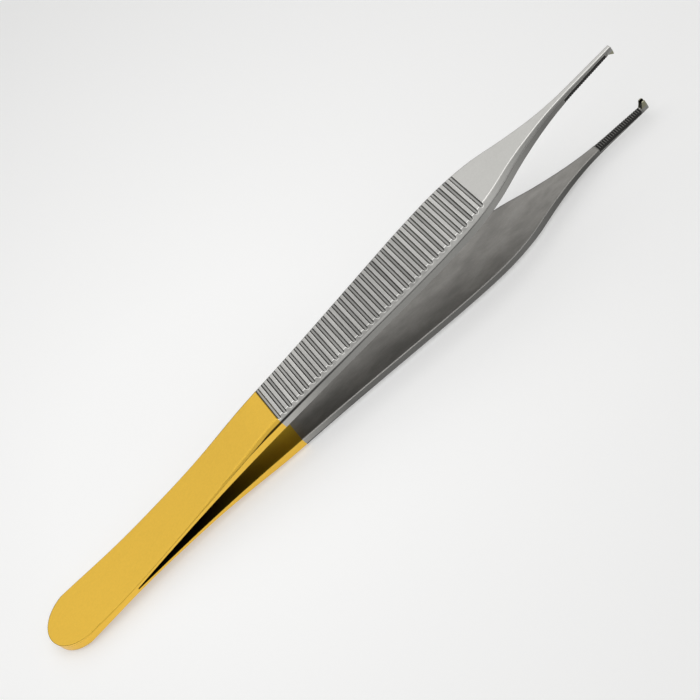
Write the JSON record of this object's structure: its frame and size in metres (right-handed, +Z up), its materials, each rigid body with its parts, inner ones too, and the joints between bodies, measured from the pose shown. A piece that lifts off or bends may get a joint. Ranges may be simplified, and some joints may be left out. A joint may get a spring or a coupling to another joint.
{
  "type": "thumb forceps",
  "caption": "Tissue thumb forceps: sprung steel arms with ribbed finger grips and gold-plated rear ends, slender tips with dark serrated jaw inserts and interlocking teeth.",
  "frame": {"origin": "middle of the bounding box in plan, on the surface it lies on", "axes": "+X along the arms from the joined butt to the tips, +Z up from the surface that the lower arm's finger grip lies on, Y across the arms"},
  "size_m": [0.1202, 0.011, 0.0163],
  "materials": {
    "satin_steel": "satin, brushed along the arms; gold-plated behind the finger ribs",
    "jaw_insert": "dark grey, ground, with fine cross serrations"
  },
  "bodies": {
    "root": {"upper_arm": "satin_steel", "lower_arm": "satin_steel", "upper_jaw_insert": "jaw_insert", "lower_jaw_insert": "jaw_insert"}
  },
  "joints": []
}
